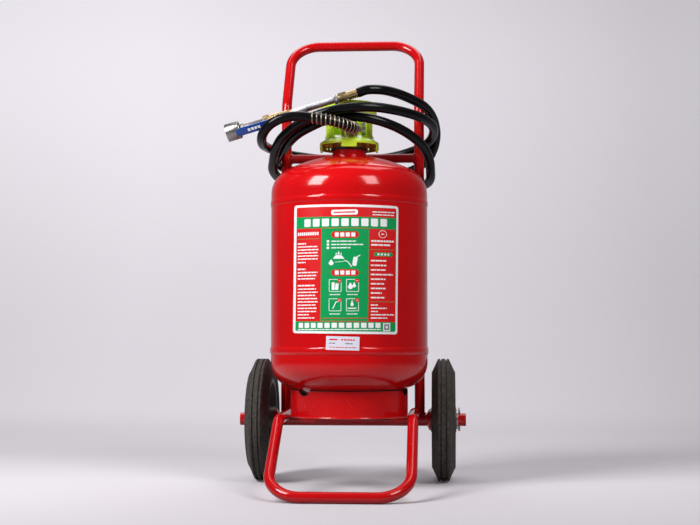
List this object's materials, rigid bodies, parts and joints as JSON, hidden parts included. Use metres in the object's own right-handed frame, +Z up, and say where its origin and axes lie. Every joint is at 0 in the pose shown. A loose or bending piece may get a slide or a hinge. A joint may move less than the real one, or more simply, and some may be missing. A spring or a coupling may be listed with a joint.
{
  "type": "wheeled fire extinguisher",
  "caption": "Dished red pressure tank on a bent-tube trolley with two wheels, a guarded valve, and a long hose wound round its shoulders to a lance with a lever.",
  "frame": {"origin": "on the floor, at the centre of the footprint", "axes": "+Z up, -Y to the front where the label is, +X to the right as seen from the front"},
  "size_m": [0.4574, 0.51, 0.9],
  "materials": {
    "red_paint": "gloss",
    "green_paint": "gloss",
    "brass": "turned",
    "chrome": "polished",
    "steel": "zinc plated",
    "hose_rubber": "satin",
    "gasket_rubber": "matt",
    "tyre_rubber": "matt",
    "hub_paint": "satin",
    "bush_plastic": "satin",
    "black_plastic": "satin",
    "blue_vinyl": "gloss",
    "label_vinyl": "gloss, printed",
    "sticker_vinyl": "gloss, printed",
    "dial_card": "printed",
    "gauge_lens": "clear",
    "dip_plastic": "satin"
  },
  "bodies": {
    "unit": {"tank_shell": "red_paint", "top_head": "red_paint", "bottom_head": "red_paint", "foot_ring": "red_paint", "neck_collar": "red_paint", "neck_gasket": "gasket_rubber", "front_label": "label_vinyl", "small_sticker": "sticker_vinyl", "valve_body": "brass", "valve_guard": "green_paint", "guard_nut": "brass", "bonnet": "brass", "gland_nut": "brass", "dip_tube": "dip_plastic", "gauge_case": "chrome", "gauge_dial": "dial_card", "gauge_glass": "gauge_lens", "outlet_nut": "brass", "hose_spring": "steel", "hose": "hose_rubber", "hose_tail": "brass", "lance_nut": "brass", "union_nut": "chrome", "lance_tube": "chrome", "ball_valve_body": "brass", "nozzle_hex": "brass", "outlet_pipe": "steel", "nozzle_head": "steel", "handle_frame": "red_paint", "cross_bar": "red_paint", "tank_brackets": "red_paint", "foot_loop": "red_paint", "axle": "red_paint", "axle_collars": "red_paint", "axle_washers": "steel", "split_pins": "steel"},
    "wheel_left": {"tyre_left": "tyre_rubber", "hub_left": "hub_paint", "bush_left": "bush_plastic"},
    "wheel_right": {"tyre_right": "tyre_rubber", "hub_right": "hub_paint", "bush_right": "bush_plastic"},
    "lance_lever": {"valve_ball": "steel", "lever_strap": "steel", "lever_sleeve": "blue_vinyl", "lever_nut": "steel"},
    "handwheel": {"handwheel": "black_plastic", "spindle": "steel", "handwheel_nut": "steel"},
    "valve_plug": {"valve_plug": "steel"},
    "gauge_needle": {"gauge_needle": "black_plastic"}
  },
  "joints": [
    {"name": "wheel_left_spin", "type": "hinge", "parent": "unit", "child": "wheel_left", "pos_m": [-0.18, 0.135, 0.12], "axis": [1, 0, 0], "continuous": true},
    {"name": "wheel_right_spin", "type": "hinge", "parent": "unit", "child": "wheel_right", "pos_m": [0.18, 0.135, 0.12], "axis": [1, 0, 0], "continuous": true},
    {"name": "lever_turn", "type": "hinge", "parent": "unit", "child": "lance_lever", "pos_m": [-0.12751, -0.031, 0.69875], "axis": [-0.1214, 0.9063, 0.4048], "range_deg": [0, 90]},
    {"name": "handwheel_turn", "type": "hinge", "parent": "unit", "child": "handwheel", "pos_m": [0, 0.035, 0.7], "axis": [0, 0, 1], "range_deg": [0, 540]},
    {"name": "plug_rise", "type": "slide", "parent": "unit", "child": "valve_plug", "axis": [0, 0, 1], "range_m": [0, 0.004]},
    {"name": "needle_turn", "type": "hinge", "parent": "unit", "child": "gauge_needle", "pos_m": [0.033, 0.035, 0.683], "axis": [1, 0, 0], "range_deg": [-120, 120], "stiffness_Nm_per_rad": 0.0001}
  ],
  "couplings": [
    {"joint": "handwheel_turn", "follows": "plug_rise", "rad_per_m": 2356.1}
  ]
}
